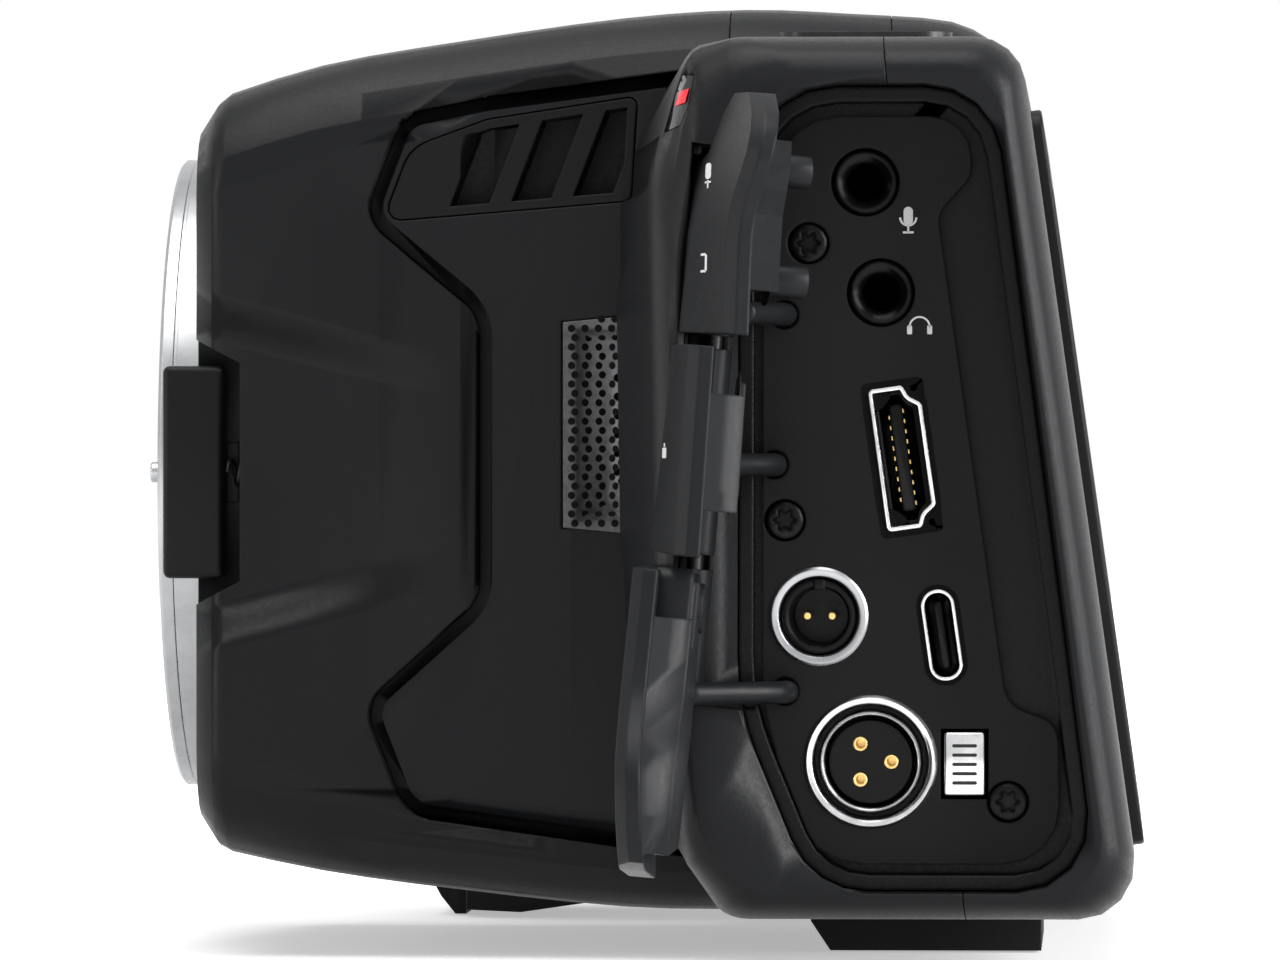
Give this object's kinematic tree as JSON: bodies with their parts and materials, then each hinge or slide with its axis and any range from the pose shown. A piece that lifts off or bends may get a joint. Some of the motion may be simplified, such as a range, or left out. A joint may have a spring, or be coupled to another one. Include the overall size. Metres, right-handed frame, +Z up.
{
  "type": "digital cinema camera",
  "caption": "Compact camera body with wide shoulders, a bayonet lens mount on a deep throat, a hand grip, a tilted rear screen and an open side bay of sockets under hinged rubber doors.",
  "frame": {"origin": "mouth of the tripod thread, on the plane the camera stands on", "axes": "+X to the camera's left, +Y to its rear, +Z up; the lens looks along -Y"},
  "size_m": [0.2107, 0.1016, 0.0965],
  "materials": {
    "casing_plastic": "bead-blasted satin",
    "grip_rubber": "fine grain",
    "door_rubber": "satin",
    "trim_black": "matte",
    "bright_metal": "brushed",
    "chrome_metal": "polished",
    "dark_metal": "satin black",
    "gold": "plated",
    "sensor_face": "gloss",
    "clear_glass": "clear",
    "screen_gloss": "gloss black",
    "tally_gloss": "gloss",
    "board": "solder mask",
    "battery_case": "matte"
  },
  "bodies": {
    "casing": {"throat_cover": "casing_plastic", "front_shell": "casing_plastic", "rear_shell": "casing_plastic", "hand_grip": "grip_rubber", "foot_pad": "grip_rubber", "top_mount": "dark_metal", "battery": "battery_case", "lens_mount": "bright_metal", "mount_screws": "bright_metal", "throat_liner": "trim_black", "contact_block": "trim_black", "sensor": "sensor_face", "cover_glass": "clear_glass", "release_spring": "bright_metal", "mic_grille_left": "dark_metal", "mic_grille_right": "dark_metal", "louvres_left": "trim_black", "louvres_right": "trim_black", "tally_window": "tally_gloss", "speaker_grille": "dark_metal", "panel_frame": "trim_black", "connector_panel": "trim_black", "mic_jack": "trim_black", "headphone_jack": "trim_black", "display_socket": "chrome_metal", "data_socket": "chrome_metal", "power_socket": "chrome_metal", "audio_socket": "chrome_metal", "audio_insert": "trim_black", "socket_contacts": "gold", "panel_screws": "dark_metal", "hinge_rod": "bright_metal", "tether_upper": "door_rubber", "tether_mid": "door_rubber", "tether_lower": "door_rubber", "screen_frame": "trim_black", "screen_glass": "screen_gloss", "main_board": "board", "fan_frame": "trim_black"},
    "battery_door": {"battery_door": "trim_black"},
    "battery_latch": {"battery_latch": "trim_black"},
    "card_door": {"card_door": "trim_black"},
    "lens_release": {"release_button": "trim_black", "lock_pin": "bright_metal"},
    "latch_tab": {"latch_tab": "chrome_metal"},
    "door_upper": {"door_upper": "door_rubber"},
    "door_mid": {"door_mid": "door_rubber"},
    "door_lower": {"door_lower": "door_rubber"},
    "menu_button": {"menu_button": "trim_black"},
    "play_button": {"play_button": "trim_black"},
    "focus_button": {"focus_button": "trim_black"},
    "iris_button": {"iris_button": "trim_black"},
    "record_button": {"record_button": "tally_gloss"},
    "still_button": {"still_button": "trim_black"},
    "iso_button": {"iso_button": "trim_black"},
    "shutter_button": {"shutter_button": "trim_black"},
    "balance_button": {"balance_button": "trim_black"},
    "power_switch": {"power_switch": "trim_black"},
    "control_wheel": {"control_wheel": "trim_black"},
    "fan_rotor": {"fan_rotor": "trim_black"}
  },
  "joints": [
    {"name": "door_upper_hinge", "type": "hinge", "parent": "casing", "child": "door_upper", "pos_m": [0.0841, -0.0242, 0.0059], "axis": [0, 0.0872, 0.9962], "range_deg": [-19.5, 75.5], "deforming": ["tether_upper"]},
    {"name": "door_mid_hinge", "type": "hinge", "parent": "casing", "child": "door_mid", "pos_m": [0.0841, -0.0242, 0.0059], "axis": [0, 0.0872, 0.9962], "range_deg": [-12, 83], "deforming": ["tether_mid"]},
    {"name": "door_lower_hinge", "type": "hinge", "parent": "casing", "child": "door_lower", "pos_m": [0.0841, -0.0242, 0.0059], "axis": [0, 0.0872, 0.9962], "range_deg": [-4.5, 90.5], "deforming": ["tether_lower"]},
    {"name": "lens_release_slide", "type": "slide", "parent": "casing", "child": "lens_release", "axis": [0, 1, 0], "range_m": [0, 0.0012], "stiffness_N_per_m": 800, "springref_m": -0.002, "deforming": ["release_spring"]},
    {"name": "latch_tab_push", "type": "slide", "parent": "casing", "child": "latch_tab", "axis": [-1, 0, 0], "range_m": [0, 0.0008], "stiffness_N_per_m": 900, "springref_m": -0.0004},
    {"name": "menu_button_push", "type": "slide", "parent": "casing", "child": "menu_button", "axis": [0, -0.9903, -0.1391], "range_m": [0, 0.0008], "stiffness_N_per_m": 900, "springref_m": -0.0004},
    {"name": "play_button_push", "type": "slide", "parent": "casing", "child": "play_button", "axis": [0, -0.9903, -0.1391], "range_m": [0, 0.0008], "stiffness_N_per_m": 900, "springref_m": -0.0004},
    {"name": "focus_button_push", "type": "slide", "parent": "casing", "child": "focus_button", "axis": [0, -0.9903, -0.1391], "range_m": [0, 0.0008], "stiffness_N_per_m": 900, "springref_m": -0.0004},
    {"name": "iris_button_push", "type": "slide", "parent": "casing", "child": "iris_button", "axis": [0, -0.9903, -0.1391], "range_m": [0, 0.0008], "stiffness_N_per_m": 900, "springref_m": -0.0004},
    {"name": "record_button_push", "type": "slide", "parent": "casing", "child": "record_button", "axis": [0, 0, -1], "range_m": [0, 0.0008], "stiffness_N_per_m": 900, "springref_m": -0.0004},
    {"name": "still_button_push", "type": "slide", "parent": "casing", "child": "still_button", "axis": [0, 0, -1], "range_m": [0, 0.0008], "stiffness_N_per_m": 900, "springref_m": -0.0004},
    {"name": "iso_button_push", "type": "slide", "parent": "casing", "child": "iso_button", "axis": [0, 0, -1], "range_m": [0, 0.0008], "stiffness_N_per_m": 900, "springref_m": -0.0004},
    {"name": "shutter_button_push", "type": "slide", "parent": "casing", "child": "shutter_button", "axis": [0, 0, -1], "range_m": [0, 0.0008], "stiffness_N_per_m": 900, "springref_m": -0.0004},
    {"name": "balance_button_push", "type": "slide", "parent": "casing", "child": "balance_button", "axis": [0, 0, -1], "range_m": [0, 0.0008], "stiffness_N_per_m": 900, "springref_m": -0.0004},
    {"name": "power_switch_slide", "type": "slide", "parent": "casing", "child": "power_switch", "axis": [1, 0, 0], "range_m": [0, 0.0035]},
    {"name": "control_wheel_turn", "type": "hinge", "parent": "casing", "child": "control_wheel", "pos_m": [-0.07, -0.05331, 0.07337], "axis": [1, 0, 0], "continuous": true},
    {"name": "battery_door_hinge", "type": "hinge", "parent": "casing", "child": "battery_door", "pos_m": [-0.0695, -0.0119, 0.0053], "axis": [1, 0, 0], "range_deg": [0, 90]},
    {"name": "battery_latch_slide", "type": "slide", "parent": "battery_door", "child": "battery_latch", "axis": [0, 1, 0], "range_m": [0, 0.0025], "stiffness_N_per_m": 300, "springref_m": -0.001},
    {"name": "card_door_hinge", "type": "hinge", "parent": "casing", "child": "card_door", "pos_m": [-0.088, -0.0114, 0.0281], "axis": [0, 0, 1], "range_deg": [0, 90]},
    {"name": "fan_rotor_turn", "type": "hinge", "parent": "casing", "child": "fan_rotor", "pos_m": [0, -0.03034, 0.0492], "axis": [0, 1, 0], "continuous": true}
  ]
}
